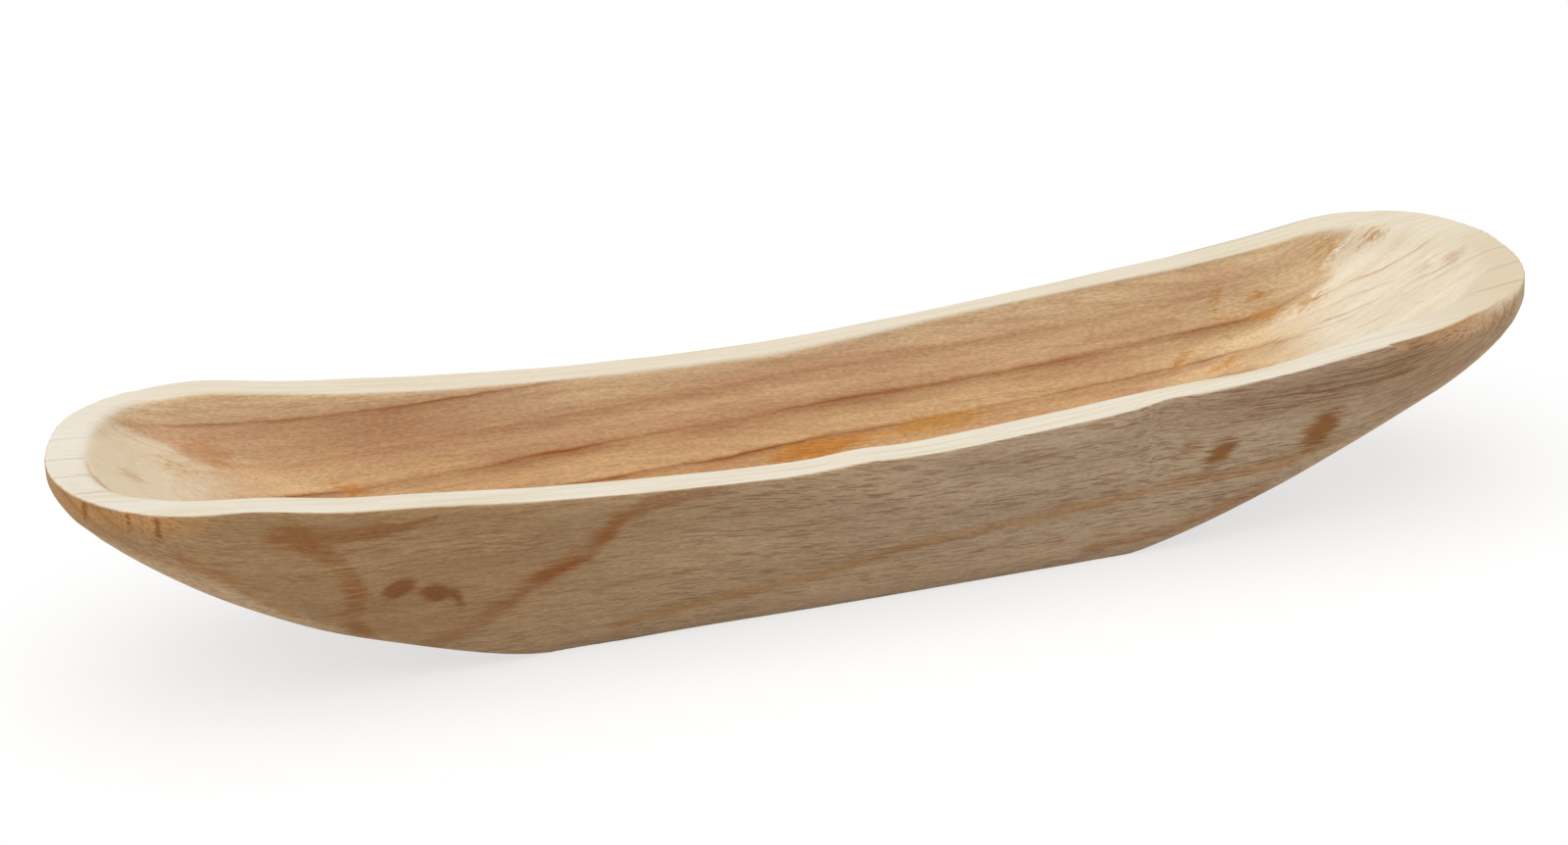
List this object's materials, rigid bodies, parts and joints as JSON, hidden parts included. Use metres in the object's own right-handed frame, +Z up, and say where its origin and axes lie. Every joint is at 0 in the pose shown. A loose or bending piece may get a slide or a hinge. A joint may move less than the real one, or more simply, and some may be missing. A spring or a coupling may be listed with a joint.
{
  "type": "carved wooden bowl",
  "caption": "Long boat-shaped bowl carved from a block of pale wood: a flat rim sweeping up to both ends, a scooped hollow for fruit or decoration, and a flat base to stand on.",
  "frame": {"origin": "on the table, under the middle of the bowl", "axes": "+X along the bowl, towards its slightly lower end; +Y across it; +Z up out of the hollow"},
  "size_m": [0.6006, 0.14, 0.0998],
  "materials": {
    "paulownia_wood": "bare, hand-carved and lightly sanded, matt"
  },
  "bodies": {
    "root": {"bowl_body": "paulownia_wood"}
  },
  "joints": []
}
